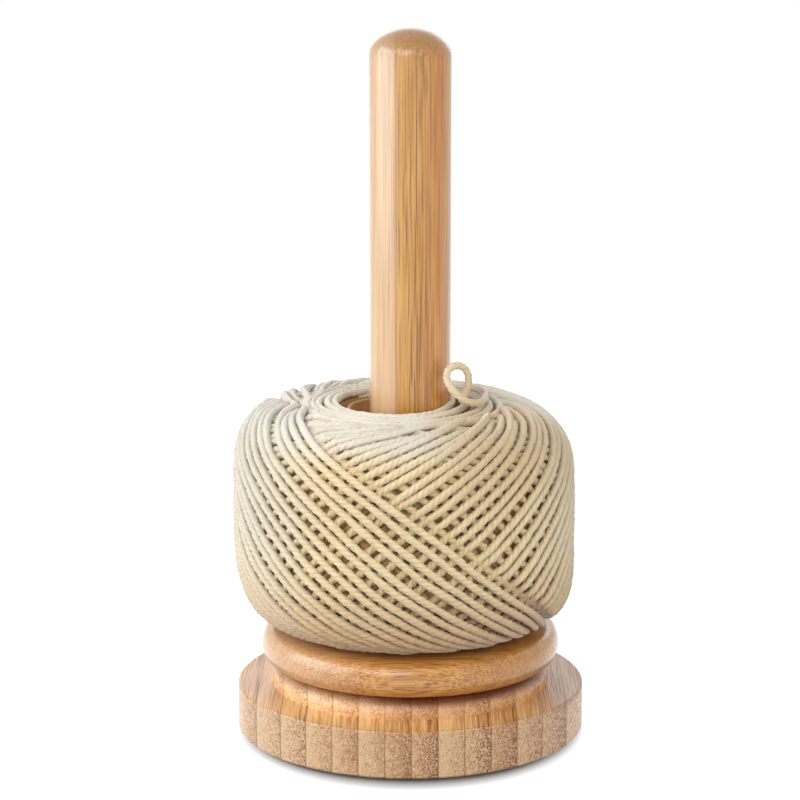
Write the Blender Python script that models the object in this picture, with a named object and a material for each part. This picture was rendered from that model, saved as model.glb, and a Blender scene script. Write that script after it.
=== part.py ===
"""Yarn ball holder: a bamboo base and turntable on a ball bearing, and a post that carries a ball of twine.

Metres, +Z up. The origin is on the floor, in the middle of the four feet, and the spindle runs up the Z axis.
"""

import math

import bmesh
import bpy
from mathutils import Vector, kdtree

MM = 0.001

# Clearances
SEAT_GAP = 0.2 * MM
BEARING_GAP = 0.12 * MM
WELD = 0.0001 * MM
OVERRUN = 1.0 * MM

# Feet
FOOT_RADIUS = 5.0 * MM
FOOT_THICKNESS = 1.0 * MM
FOOT_EDGE = 0.2 * MM
FOOT_CIRCLE = 39.0 * MM
FOOT_COUNT = 4

# Base, a disc with a raised boss
BASE_RADIUS = 50.0 * MM
BASE_THICKNESS = 13.3 * MM
BASE_EDGE = 0.5 * MM
BOSS_RADIUS = 40.0 * MM
BOSS_HEIGHT = 5.9 * MM
BOSS_WALL = 1.2 * MM
BOSS_ROUND = 4.5 * MM
UNDERSIDE_BORE = 9.0 * MM

# Ball bearing, a standard 22 x 8 x 7
BEARING_RADIUS = 11.0 * MM
BEARING_BORE = 4.0 * MM
BEARING_WIDTH = 7.0 * MM
BEARING_EDGE = 0.3 * MM
BALL_RADIUS = 1.984 * MM
BALL_COUNT = 7
BALL_CIRCLE = 7.5 * MM
INNER_LAND = 6.2 * MM
OUTER_LAND = 8.8 * MM
SHIELD_RECESS = 9.6 * MM
SHIELD_STEP = 0.95 * MM
SHIELD_THICKNESS = 0.4 * MM
CAGE_WALL = 0.4 * MM
CAGE_TOP = 1.1 * MM
CAGE_TURN = math.radians(17.0)

# Turntable
TURNTABLE_RADIUS = 43.0 * MM
TURNTABLE_THICKNESS = 9.9 * MM
TURNTABLE_NOSE = 3.5 * MM
RUNNING_GAP = 0.7 * MM
SPACER_THICKNESS = 1.3 * MM
SPACER_RADIUS = 5.9 * MM

# Spindle bolt, M8, with its washer, nut and insert
BOLT_RADIUS = 4.0 * MM
BOLT_LENGTH = 35.0 * MM
BOLT_POINT = 1.0 * MM
HEX_FLATS = 13.0 * MM
HEAD_HEIGHT = 5.3 * MM
WASHER_RADIUS = 6.0 * MM
WASHER_THICKNESS = 1.2 * MM
NUT_HEIGHT = 4.0 * MM
NUT_POCKET = 8.0 * MM
INSERT_RADIUS = 5.5 * MM
INSERT_LENGTH = 12.0 * MM
INSERT_RIB = 0.5 * MM
INSERT_RIBS = 3
INSERT_DEPTH = 0.6 * MM

# Post
POST_RADIUS = 11.5 * MM
POST_LENGTH = 170.5 * MM
POST_DOME = 8.0 * MM
POST_EDGE = 0.4 * MM
DRILL_POINT = 2.0 * MM

# Ball of twine on its cardboard tube, heights from the ball's own bottom
TUBE_BORE = 17.0 * MM
TUBE_WALL = 1.2 * MM
TUBE_LENGTH = 61.0 * MM
BALL_REST = 0.3 * MM
TWINE_RADIUS = 1.0 * MM
WOUND_RADIUS = 49.2 * MM
WOUND_MIDDLE = 38.9 * MM
WOUND_RISE = 27.5 * MM
WOUND_DROP = 44.0 * MM
RISE_POWER = 3.2
DROP_POWER = 3.0
CORE_INSET = 7.0 * MM
CORE_GAP = 0.3 * MM
UPPER_COLLAR = 23.2 * MM
UPPER_COLLAR_TOP = 64.4 * MM
LOWER_COLLAR = 31.0 * MM
LOWER_COLLAR_HEIGHT = 3.2 * MM
COLLAR_ROUND = 2.0 * MM

# Winding: each loop leans, and moves round by one step
LOOPS = 24
POINTS_PER_LOOP = 24
LEAN = math.radians(48.5)
SHARP_TURN_SHARE = 0.62
LAYER_STEP = 3.1 * MM
RIM_LIFT = 0.6 * MM
CHANGE_ANGLE = math.radians(7.5)
WINDING_TURN = math.radians(-83.0)
END_REACH = 26.1 * MM

# The free end's route from the rim: across, back and up from the top of the upper collar
TAIL_ROUTE = (
    (22.7 * MM, 3.6 * MM, 1.8 * MM),
    (22.0 * MM, -2.4 * MM, 1.9 * MM),
    (21.4 * MM, -8.6 * MM, 2.3 * MM),
    (18.4 * MM, -12.2 * MM, 3.4 * MM),
    (14.6 * MM, -12.2 * MM, 5.5 * MM),
    (11.8 * MM, -11.6 * MM, 8.2 * MM),
    (11.7 * MM, -10.8 * MM, 11.2 * MM),
    (14.0 * MM, -10.2 * MM, 12.8 * MM),
    (16.6 * MM, -9.6 * MM, 11.6 * MM),
    (17.7 * MM, -9.0 * MM, 8.8 * MM),
    (17.8 * MM, -8.6 * MM, 5.6 * MM),
    (17.8 * MM, -8.5 * MM, 2.9 * MM),
)

# Facets round each kind of turned piece
WIDE_STEPS = 64
POST_STEPS = 40
RACE_STEPS = 32
SMALL_STEPS = 20
BALL_STEPS = 10
BALL_RINGS = 7

# Heights from the floor
BASE_Z = FOOT_THICKNESS + SEAT_GAP
BOSS_TOP = BASE_THICKNESS + BOSS_HEIGHT
BEARING_Z = BASE_Z + BOSS_TOP - BEARING_WIDTH
BEARING_MIDDLE = BEARING_Z + BEARING_WIDTH / 2
WASHER_Z = BEARING_Z - SEAT_GAP - WASHER_THICKNESS
HEAD_Z = WASHER_Z - SEAT_GAP - HEAD_HEIGHT
TURNTABLE_Z = BASE_Z + BOSS_TOP + RUNNING_GAP
TURNTABLE_TOP = TURNTABLE_Z + TURNTABLE_THICKNESS
SPACER_Z = BEARING_Z + BEARING_WIDTH + SEAT_GAP
NUT_Z = TURNTABLE_TOP - SEAT_GAP - NUT_HEIGHT
POST_Z = TURNTABLE_TOP + SEAT_GAP
INSERT_Z = POST_Z + INSERT_DEPTH
BOLT_END = HEAD_Z + HEAD_HEIGHT + BOLT_LENGTH
BALL_Z = TURNTABLE_TOP + BALL_REST


def clear_scene():
    for thing in list(bpy.data.objects):
        bpy.data.objects.remove(thing, do_unlink=True)


def material(name, colour, roughness, metallic=0.0):
    made = bpy.data.materials.new(name)
    made.use_nodes = True
    shader = made.node_tree.nodes["Principled BSDF"]
    shader.inputs["Base Color"].default_value = (*colour, 1.0)
    shader.inputs["Roughness"].default_value = roughness
    shader.inputs["Metallic"].default_value = metallic
    made.diffuse_color = (*colour, 1.0)
    return made


def empty(name, height):
    made = bpy.data.objects.new(name, None)
    made.location.z = height
    bpy.context.collection.objects.link(made)
    return made


def place(name, data, height, parent, look):
    """One object at a height under its parent, whose own height is taken off."""
    made = bpy.data.objects.new(name, data)
    bpy.context.collection.objects.link(made)
    made.parent = parent
    made.location.z = height - (parent.location.z if parent else 0.0)
    if look and not data.materials:
        data.materials.append(look)
    return made


def mesh_from(bm, name):
    bmesh.ops.remove_doubles(bm, verts=bm.verts, dist=WELD)
    bmesh.ops.recalc_face_normals(bm, faces=bm.faces)
    data = bpy.data.meshes.new(name)
    bm.to_mesh(data)
    bm.free()
    data.shade_smooth()
    data.set_sharp_from_angle(angle=math.radians(35.0))
    return data


def turned(name, outline, steps):
    """A mesh spun round Z from (radius, height) points. An outline that starts off the axis is closed."""
    bm = bmesh.new()
    verts = [bm.verts.new((radius, 0.0, height)) for radius, height in outline]
    edges = [bm.edges.new(pair) for pair in zip(verts, verts[1:])]
    if outline[0][0] > 0.0:
        edges.append(bm.edges.new((verts[-1], verts[0])))
    bmesh.ops.spin(
        bm,
        geom=verts + edges,
        cent=Vector(),
        axis=Vector((0.0, 0.0, 1.0)),
        angle=math.tau,
        steps=steps,
        use_merge=True,
    )
    return mesh_from(bm, name)


def arc(centre, reach, start, end, count):
    """Points of an elliptical arc, its angles in degrees from the outward direction, up being positive."""
    points = []
    for step in range(count + 1):
        angle = math.radians(start + (end - start) * step / count)
        points.append((centre[0] + reach[0] * math.cos(angle), centre[1] + reach[1] * math.sin(angle)))
    return points


def ring(inner, outer, low, high):
    return [(inner, low), (outer, low), (outer, high), (inner, high)]


def cut(target, helper, operation="DIFFERENCE"):
    """A Boolean on target with a hidden helper that moves with it."""
    helper.parent = target
    helper.hide_render = True
    helper.display_type = "WIRE"
    modifier = target.modifiers.new(helper.name, "BOOLEAN")
    modifier.operation = operation
    modifier.object = helper


def helper_object(name, data):
    made = bpy.data.objects.new(name, data)
    bpy.context.collection.objects.link(made)
    return made


def make_base(look):
    """The lower disc with its boss, the bearing's pocket and the bore for the bolt's head."""
    pocket = BEARING_RADIUS + SEAT_GAP
    floor = BEARING_Z - SEAT_GAP - BASE_Z
    boss_corner = (BOSS_RADIUS - BOSS_ROUND, BASE_THICKNESS + BOSS_WALL)
    outline = [(UNDERSIDE_BORE, 0.0)]
    outline += arc((BASE_RADIUS - BASE_EDGE, BASE_EDGE), (BASE_EDGE, BASE_EDGE), -90, 0, 1)
    outline += arc((BASE_RADIUS - BASE_EDGE, BASE_THICKNESS - BASE_EDGE), (BASE_EDGE, BASE_EDGE), 0, 90, 1)
    outline.append((BOSS_RADIUS, BASE_THICKNESS))
    outline += arc(boss_corner, (BOSS_ROUND, BOSS_HEIGHT - BOSS_WALL), 0, 90, 5)
    outline += [(pocket, BOSS_TOP), (pocket, floor), (UNDERSIDE_BORE, floor)]
    return place("base", turned("base", outline, WIDE_STEPS), BASE_Z, None, look)


def make_feet(look):
    outline = [(0.0, 0.0), (FOOT_RADIUS - FOOT_EDGE, 0.0), (FOOT_RADIUS, FOOT_EDGE)]
    outline += [(FOOT_RADIUS, FOOT_THICKNESS), (0.0, FOOT_THICKNESS)]
    pad = turned("rubber_foot", outline, SMALL_STEPS)
    for number in range(FOOT_COUNT):
        angle = math.tau * (number + 0.5) / FOOT_COUNT
        foot = place(f"rubber_foot_{number + 1}", pad, 0.0, None, look)
        foot.location.x = FOOT_CIRCLE * math.cos(angle)
        foot.location.y = FOOT_CIRCLE * math.sin(angle)


def groove(land, side):
    """A race's ball groove, from low to high: side is 1 where it opens outwards, -1 where it opens inwards."""
    reach = BALL_RADIUS + BEARING_GAP
    spread = math.degrees(math.acos(abs(land - BALL_CIRCLE) / reach))
    middle = 180.0 if side > 0 else 0.0
    points = arc((BALL_CIRCLE, BEARING_WIDTH / 2), (reach, reach), middle - spread, middle + spread, 5)
    return points[::-1] if side > 0 else points


def make_races(look, spinning):
    bevel = BEARING_EDGE
    width = BEARING_WIDTH
    recess = SHIELD_STEP
    outer = [(SHIELD_RECESS, 0.0), (BEARING_RADIUS - bevel, 0.0), (BEARING_RADIUS, bevel)]
    outer += [(BEARING_RADIUS, width - bevel), (BEARING_RADIUS - bevel, width), (SHIELD_RECESS, width)]
    outer += [(SHIELD_RECESS, width - recess), (OUTER_LAND, width - recess)]
    outer += groove(OUTER_LAND, -1)[::-1]
    outer += [(OUTER_LAND, recess), (SHIELD_RECESS, recess)]
    bore = BEARING_BORE + BEARING_GAP
    inner = [(bore, bevel), (bore + bevel, 0.0), (INNER_LAND, 0.0)]
    inner += groove(INNER_LAND, 1)
    inner += [(INNER_LAND, width), (bore + bevel, width), (bore, width - bevel)]
    place("bearing_outer_race", turned("bearing_outer_race", outer, RACE_STEPS), BEARING_Z, None, look)
    place("bearing_inner_race", turned("bearing_inner_race", inner, RACE_STEPS), BEARING_Z, spinning, look)


def make_shields(look):
    """Two thin washers in the outer race's recesses, clear of the inner race."""
    outline = ring(INNER_LAND + CAGE_WALL, SHIELD_RECESS - BEARING_GAP, 0.0, SHIELD_THICKNESS)
    shield = turned("bearing_shield", outline, RACE_STEPS)
    low = BEARING_Z + SHIELD_STEP - BEARING_GAP - SHIELD_THICKNESS
    high = BEARING_Z + BEARING_WIDTH - SHIELD_STEP + BEARING_GAP
    place("bearing_shield_lower", shield, low, None, look)
    place("bearing_shield_upper", shield, high, None, look)


def ball_mesh(name, radius, centres, steps, rings):
    bm = bmesh.new()
    for centre in centres:
        made = bmesh.ops.create_uvsphere(bm, u_segments=steps, v_segments=rings, radius=radius)
        bmesh.ops.translate(bm, verts=made["verts"], vec=centre)
    return mesh_from(bm, name)


def ball_centres():
    angles = [CAGE_TURN + math.tau * number / BALL_COUNT for number in range(BALL_COUNT)]
    return [Vector((BALL_CIRCLE * math.cos(a), BALL_CIRCLE * math.sin(a), 0.0)) for a in angles]


def make_balls(look, orbiting):
    ball = ball_mesh("bearing_ball", BALL_RADIUS, [Vector()], BALL_STEPS, BALL_RINGS)
    for number, centre in enumerate(ball_centres()):
        made = place(f"bearing_ball_{number + 1}", ball, BEARING_MIDDLE, orbiting, look)
        made.location += centre


def make_cage(look, orbiting):
    """A snap-in crown: a ring whose round pockets hold the balls past their middle."""
    pocket = BALL_RADIUS + BEARING_GAP
    outline = ring(INNER_LAND + CAGE_WALL, OUTER_LAND - CAGE_WALL, -pocket - CAGE_WALL, CAGE_TOP)
    cage = place("bearing_cage", turned("bearing_cage", outline, RACE_STEPS), BEARING_MIDDLE, orbiting, look)
    pockets = ball_mesh("cage_pockets", pocket, ball_centres(), BALL_STEPS, BALL_RINGS)
    cut(cage, helper_object("cage_pockets", pockets))


def make_turntable(look, spinning):
    """The upper disc, round-nosed, bored for the spindle, the spacer below and the nut above."""
    half = TURNTABLE_THICKNESS / 2
    hole = BOLT_RADIUS + SEAT_GAP
    spacer_pocket = SPACER_RADIUS + SEAT_GAP
    spacer_depth = SPACER_Z + SPACER_THICKNESS + SEAT_GAP - TURNTABLE_Z
    nut_floor = NUT_Z - SEAT_GAP - TURNTABLE_Z
    outline = [(hole, spacer_depth), (spacer_pocket, spacer_depth), (spacer_pocket, 0.0)]
    outline += arc((TURNTABLE_RADIUS - TURNTABLE_NOSE, half), (TURNTABLE_NOSE, half), -90, 90, 8)
    outline += [(NUT_POCKET, TURNTABLE_THICKNESS), (NUT_POCKET, nut_floor), (hole, nut_floor)]
    place("turntable", turned("turntable", outline, WIDE_STEPS), TURNTABLE_Z, spinning, look)


def make_rings(washer_look, spacer_look, spinning):
    hole = BOLT_RADIUS + SEAT_GAP
    washer = turned("spindle_washer", ring(hole, WASHER_RADIUS, 0.0, WASHER_THICKNESS), SMALL_STEPS)
    spacer = turned("spacer_ring", ring(hole, SPACER_RADIUS, 0.0, SPACER_THICKNESS), SMALL_STEPS)
    place("spindle_washer", washer, WASHER_Z, spinning, washer_look)
    place("spacer_ring", spacer, SPACER_Z, spinning, spacer_look)


def hexagon(name, height):
    """A six-sided block on z = 0, its width across flats HEX_FLATS."""
    bm = bmesh.new()
    corner = HEX_FLATS / math.sqrt(3.0)
    bmesh.ops.create_cone(bm, cap_ends=True, segments=6, radius1=corner, radius2=corner, depth=height)
    bmesh.ops.translate(bm, verts=bm.verts, vec=Vector((0.0, 0.0, height / 2)))
    return mesh_from(bm, name)


def chamfered(name, height, low, high):
    """The turned blank that takes the hexagon's corners off at its low and high faces, where asked."""
    corner = HEX_FLATS / math.sqrt(3.0) + OVERRUN
    face = HEX_FLATS / 2
    slope = math.tan(math.radians(30.0)) * (corner - face)
    outline = [(0.0, 0.0), (face, 0.0), (corner, slope)] if low else [(0.0, -OVERRUN), (corner, -OVERRUN)]
    if high:
        outline += [(corner, height - slope), (face, height), (0.0, height)]
    else:
        outline += [(corner, height + OVERRUN), (0.0, height + OVERRUN)]
    return helper_object(name, turned(name, outline, SMALL_STEPS))


def make_bolt(look, spinning):
    """A hexagon head below, a plain shank with a pointed end above."""
    bolt = place("spindle_bolt", hexagon("spindle_bolt", HEAD_HEIGHT), HEAD_Z, spinning, look)
    cut(bolt, chamfered("head_chamfer", HEAD_HEIGHT, True, False), "INTERSECT")
    end = HEAD_HEIGHT + BOLT_LENGTH
    shank = [(0.0, HEAD_HEIGHT / 2), (BOLT_RADIUS, HEAD_HEIGHT / 2), (BOLT_RADIUS, end - BOLT_POINT)]
    shank += [(BOLT_RADIUS - BOLT_POINT, end), (0.0, end)]
    cut(bolt, helper_object("bolt_shank", turned("bolt_shank", shank, SMALL_STEPS)), "UNION")


def make_nut(look, spinning):
    nut = place("spindle_nut", hexagon("spindle_nut", NUT_HEIGHT), NUT_Z, spinning, look)
    cut(nut, chamfered("nut_chamfer", NUT_HEIGHT, True, True), "INTERSECT")
    bore = BOLT_RADIUS + SEAT_GAP
    drill = [(0.0, -OVERRUN), (bore, -OVERRUN), (bore, NUT_HEIGHT + OVERRUN), (0.0, NUT_HEIGHT + OVERRUN)]
    cut(nut, helper_object("nut_drill", turned("nut_drill", drill, SMALL_STEPS)))


def make_insert(look, spinning):
    """A ribbed brass sleeve that grips the post's bore."""
    bore = BOLT_RADIUS + SEAT_GAP
    outline = [(bore, 0.0)]
    pitch = INSERT_LENGTH / INSERT_RIBS
    for number in range(INSERT_RIBS):
        foot = number * pitch
        outline += [(INSERT_RADIUS - INSERT_RIB, foot), (INSERT_RADIUS, foot + pitch / 2)]
    outline += [(INSERT_RADIUS - INSERT_RIB, INSERT_LENGTH), (bore, INSERT_LENGTH)]
    place("threaded_insert", turned("threaded_insert", outline, SMALL_STEPS), INSERT_Z, spinning, look)


def make_post(look, spinning):
    """A round rod with a domed top, bored from its foot for the insert and the bolt's end."""
    insert_bore = INSERT_RADIUS + SEAT_GAP
    insert_top = INSERT_DEPTH + INSERT_LENGTH + SEAT_GAP
    bolt_bore = BOLT_RADIUS + 2 * SEAT_GAP
    bolt_top = BOLT_END - POST_Z + SEAT_GAP
    outline = [(0.0, bolt_top + DRILL_POINT), (bolt_bore, bolt_top), (bolt_bore, insert_top)]
    outline += [(insert_bore, insert_top), (insert_bore, 0.0), (POST_RADIUS - POST_EDGE, 0.0)]
    outline.append((POST_RADIUS, POST_EDGE))
    outline += arc((0.0, POST_LENGTH - POST_DOME), (POST_RADIUS, POST_DOME), 0, 80, 6)
    outline.append((0.0, POST_LENGTH))
    place("post", turned("post", outline, POST_STEPS), POST_Z, spinning, look)


def wound_point(angle, inset):
    """(radius, height) a given depth inside the ball's outer shape, seen at this angle from its widest place."""

    def surface(at):
        across, up = math.cos(at), math.sin(at)
        height, power = (WOUND_RISE, RISE_POWER) if at >= 0 else (WOUND_DROP, DROP_POWER)
        reach = (abs(across / WOUND_RADIUS) ** power + abs(up / height) ** power) ** (-1.0 / power)
        return Vector((reach * across, WOUND_MIDDLE + reach * up))

    nudge = math.radians(0.01)
    along = (surface(angle + nudge) - surface(angle - nudge)).normalized()
    return surface(angle) - inset * Vector((along.y, -along.x))


def make_tube(look, lifted):
    tube = turned("twine_core_tube", ring(TUBE_BORE, TUBE_BORE + TUBE_WALL, 0.0, TUBE_LENGTH), POST_STEPS)
    place("twine_core_tube", tube, BALL_Z, lifted, look)


def make_ball_core(look, lifted):
    """The earlier layers of the ball as one plain body, with a collar at each end for the outer turns."""
    bore = TUBE_BORE + TUBE_WALL + CORE_GAP
    outline = [(bore, 0.0)]
    outline += arc((LOWER_COLLAR - COLLAR_ROUND, COLLAR_ROUND), (COLLAR_ROUND, COLLAR_ROUND), -90, 0, 3)
    outline.append((LOWER_COLLAR, LOWER_COLLAR_HEIGHT))
    angle = -LEAN
    while angle < LEAN:
        radius, height = wound_point(angle, CORE_INSET)
        if height > LOWER_COLLAR_HEIGHT + COLLAR_ROUND and radius > UPPER_COLLAR + COLLAR_ROUND:
            outline.append((radius, height))
        angle += math.radians(12.0)
    outline.append((UPPER_COLLAR, outline[-1][1]))
    corner = (UPPER_COLLAR - COLLAR_ROUND, UPPER_COLLAR_TOP - COLLAR_ROUND)
    outline += arc(corner, (COLLAR_ROUND, COLLAR_ROUND), 0, 90, 3)
    outline.append((bore, UPPER_COLLAR_TOP))
    place("twine_ball_core", turned("twine_ball_core", outline, POST_STEPS), BALL_Z, lifted, look)


def winding_point(number):
    """A point of the winding, counted from the top of its first loop.

    Each loop leans like a tilted hoop, turned more sharply at its ends. Going down it lies in the outer layer,
    coming up in the inner one, and it changes layer at each end.
    """
    step = math.tau / POINTS_PER_LOOP
    lap = math.pi / 2 + (number + 0.5) * step
    hoop = math.atan(math.tan(LEAN) * math.sin(lap))
    zigzag = LEAN * math.asin(math.sin(lap)) / (math.pi / 2)
    angle = (1 - SHARP_TURN_SHARE) * hoop + SHARP_TURN_SHARE * zigzag
    near_top = math.sin(lap) >= 0
    past_end = math.remainder(lap - (math.pi / 2 if near_top else -math.pi / 2), math.tau)
    change = max(-1.0, min(1.0, past_end / CHANGE_ANGLE))
    side = math.sin(change * math.pi / 2) * (1 if near_top else -1)
    lift = RIM_LIFT * math.exp(-((past_end / (2 * CHANGE_ANGLE)) ** 2))
    inset = TWINE_RADIUS + LAYER_STEP / 2 - side * (LAYER_STEP / 2 + lift)
    radius, height = wound_point(angle, inset)
    turn = WINDING_TURN + lap * (1 + 1 / LOOPS)
    return Vector((radius * math.cos(turn), radius * math.sin(turn), height))


def inner_end():
    """The inner end turns in and runs straight to the upper collar, square to it."""
    last = winding_point(LOOPS * POINTS_PER_LOOP - 1)
    heading = math.atan2(last.y, last.x) - math.radians(2.0)
    out = Vector((math.cos(heading), math.sin(heading), 0.0))
    stop = UPPER_COLLAR + CORE_GAP
    return [out * END_REACH + Vector((0.0, 0.0, last.z)), out * stop + Vector((0.0, 0.0, last.z))]


def outer_end():
    """The free end, from its tip on the collar back over its small loop to the rim."""
    points = [Vector((x, y, UPPER_COLLAR_TOP + z)) for x, y, z in TAIL_ROUTE]
    tip = Vector((points[-1].x, points[-1].y, UPPER_COLLAR_TOP + CORE_GAP))
    return [tip, *reversed(points)]


def least_gap(points, radius):
    """The least distance between the tube's own surfaces, away from where it joins on."""
    spacing = radius / 4
    samples = []
    for start, end in zip(points, points[1:]):
        count = max(1, math.ceil((end - start).length / spacing))
        samples += [start.lerp(end, number / count) for number in range(count)]
    tree = kdtree.KDTree(len(samples))
    for index, sample in enumerate(samples):
        tree.insert(sample, index)
    tree.balance()
    joined = math.ceil(6 * radius / spacing)
    reach = 4 * radius
    least = reach
    for index, sample in enumerate(samples):
        for _, other, distance in tree.find_range(sample, reach):
            if abs(other - index) > joined:
                least = min(least, distance)
    return least - 2 * radius


def make_winding(look, lifted):
    """The outer turns as one unbroken length of twine, from its inner end to the small loop at its free end."""
    points = outer_end()
    points += [winding_point(number) for number in range(LOOPS * POINTS_PER_LOOP - 1)]
    points += inner_end()
    print(f"twine_winding: least gap to itself {least_gap(points, TWINE_RADIUS) / MM:.2f} mm")
    curve = bpy.data.curves.new("twine_winding", "CURVE")
    curve.dimensions = "3D"
    curve.bevel_depth = TWINE_RADIUS
    curve.bevel_resolution = 1
    curve.use_fill_caps = True
    spline = curve.splines.new("POLY")
    spline.points.add(len(points) - 1)
    for target, point in zip(spline.points, points):
        target.co = (*point, 1.0)
    place("twine_winding", curve, BALL_Z, lifted, look)


def build():
    clear_scene()
    bamboo = (0.60, 0.35, 0.14)
    steel = (0.58, 0.58, 0.60)
    spinning = empty("spindle_axis", TURNTABLE_Z)
    orbiting = empty("cage_axis", BEARING_MIDDLE)
    lifted = empty("ball_axis", BALL_Z)
    make_feet(material("foot_rubber", (0.03, 0.03, 0.03), 0.8))
    make_base(material("base_bamboo", bamboo, 0.4))
    make_races(material("race_steel", steel, 0.2, 1.0), spinning)
    make_shields(material("shield_steel", steel, 0.35, 1.0))
    make_balls(material("ball_steel", (0.68, 0.68, 0.70), 0.08, 1.0), orbiting)
    make_cage(material("cage_plastic", (0.75, 0.72, 0.62), 0.5), orbiting)
    make_turntable(material("turntable_bamboo", bamboo, 0.4), spinning)
    make_rings(
        material("washer_steel", steel, 0.35, 1.0), material("spacer_steel", steel, 0.3, 1.0), spinning
    )
    make_bolt(material("bolt_steel", steel, 0.35, 1.0), spinning)
    make_nut(material("nut_steel", steel, 0.35, 1.0), spinning)
    make_insert(material("insert_brass", (0.70, 0.50, 0.22), 0.35, 1.0), spinning)
    make_post(material("post_bamboo", bamboo, 0.35), spinning)
    make_tube(material("tube_cardboard", (0.36, 0.19, 0.09), 0.9), lifted)
    make_ball_core(material("core_twine", (0.62, 0.47, 0.28), 0.95), lifted)
    make_winding(material("winding_twine", (0.78, 0.63, 0.40), 0.9), lifted)


build()
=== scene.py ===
"""The yarn ball holder as photographed: grained bamboo, and a cross-wound ball of twine on the post."""

import math
from functools import reduce
from types import SimpleNamespace

import bpy
import numpy as np
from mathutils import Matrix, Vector


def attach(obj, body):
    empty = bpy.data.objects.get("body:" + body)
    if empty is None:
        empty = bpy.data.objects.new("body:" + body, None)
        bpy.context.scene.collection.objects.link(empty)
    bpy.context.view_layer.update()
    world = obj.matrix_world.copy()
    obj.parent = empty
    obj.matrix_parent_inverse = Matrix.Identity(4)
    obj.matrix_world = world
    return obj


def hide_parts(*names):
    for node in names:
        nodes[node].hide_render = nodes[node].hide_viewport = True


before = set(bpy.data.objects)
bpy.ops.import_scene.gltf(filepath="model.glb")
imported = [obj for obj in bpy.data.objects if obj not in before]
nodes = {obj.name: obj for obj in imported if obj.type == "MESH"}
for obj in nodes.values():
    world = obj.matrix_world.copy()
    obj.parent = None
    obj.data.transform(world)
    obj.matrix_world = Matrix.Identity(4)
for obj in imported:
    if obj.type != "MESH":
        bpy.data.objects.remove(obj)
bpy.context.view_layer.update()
scene = bpy.context.scene

# Sizes and places are in millimetres. Screen colours go from 0 to 255, and a power makes them linear
MM = 0.001
SCREEN_WHITE = 255.0
SCREEN_POWER = 2.2

# Camera
CAMERA_PLACE = (0.0, -656.9, 226.2)
CAMERA_CLIPS = (10.0, 20000.0)
CAMERA_PITCH = math.radians(11.17)
CAMERA_LENS = 105.8
CAMERA_SENSOR = 36.0
CAMERA_SHIFT_SHARE = -0.0129

# Lights: name, place, size, watts, and whether reflections show it
LIGHT_TARGET = (0.0, 0.0, 90.0)
LIGHTS = (
    ("window_light", (-900.0, -220.0, 420.0), (1000.0, 700.0), 7.8, True),
    ("fill_light", (800.0, -620.0, 400.0), (900.0, 700.0), 4.6, False),
    ("front_light", (-250.0, -850.0, 580.0), (600.0, 400.0), 3.0, True),
    ("back_light", (100.0, 800.0, 500.0), (900.0, 500.0), 1.6, True),
)
WORLD_LIGHT_SHARE = 0.36
WHITE = (1.0, 1.0, 1.0, 1.0)

# Floor: a painted shadow round the base, where the glow is low, with the real shadow in it. How far out the
# background's white starts and is full, and how that round is stretched and moved
FLOOR_SIZE = 8000.0
FLOOR_PARTS = 8
PAINTED_SHADOW_FADE = (46.0, 57.5)
PAINTED_SHADOW_STRETCH_SHARES = (1.07, 0.985, 1.0)
PAINTED_SHADOW_AHEAD = (0.0, 1.8, 0.0)
FLOOR_COLOUR = (0.46, 0.46, 0.46, 1.0)
FLOOR_GLOW_SHARE = 0.02

# The ball's outer shape, with heights from its own bottom. A row of angles is first, last and how many
BALL_Z = 31.3
WOUND_RADIUS = 49.0
WOUND_MIDDLE = 38.9
WOUND_RISE = 27.6
WOUND_DROP = 40.5
RISE_POWER = 4.0
DROP_POWER = 5.0
NORMAL_STEP = math.radians(0.2)
RIM_ANGLES = (20.0, 80.0, 6001)

# The tube in the ball. Its rim ends under the flat turns round the hole
TUBE_OUTSIDE = 18.2
TUBE_INSIDE = 17.0
TUBE_TOP = 94.5
TUBE_EDGE = 0.25
TUBE_STEPS = 128
EDGE_ANGLE = math.radians(40.0)

# The layers under the outer turns
CORE_INSET = 3.1
CORE_FOOT = 2.6
CORE_ANGLES = (-56.0, 66.0, 60)
CORE_STEPS = 160
CORE_TUBE_GAP = 0.1
CORE_TUBE_STEP = 0.5
CORE_RIM = 1.0

# How the ball sits: pushed to the left, and higher there and at the back
SMALLEST_RADIUS = 1.0
SHIFT = -1.8
SHIFT_RADII = (21.0, 41.0)
SHIFT_HEIGHTS = (61.5, 63.0)
LEFT_LIFT = 0.5
BACK_LIFT = 1.1
LIFT_FULL = 40.0
SHOULDER_LIFT = 1.2
SHOULDER_RADIUS = 41.0
SHOULDER_WIDTH = 6.0
RIGHT_SLOPE = 1.1
SLOPE_HEIGHT = 58.0
SLOPE_WIDTH = 8.0
FOOT_SHIFT = 1.2
FRONT_LIFT = 0.7
FOOT_HEIGHTS = (4.0, 26.0)

# The twine: its lay, its ring of points, and its uneven thickness as share, wave length and seed
TWINE_RADIUS = 1.12
LAY_LENGTH = 6.2
PLIES = 3
PLY_POINTS = 4
RING_POINTS = PLIES * PLY_POINTS
RING_STEP = 1.0
VALLEY_SHARE = 0.88
SLUBS = ((0.08, 23.0, 5), (0.07, 5.0, 6))
ROUGH_SHARE = 0.04
ROUGH_LIMIT_SHARE = 0.12
WAVE_SHARES = (0.6, 0.95, 1.3, 1.65)

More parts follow.
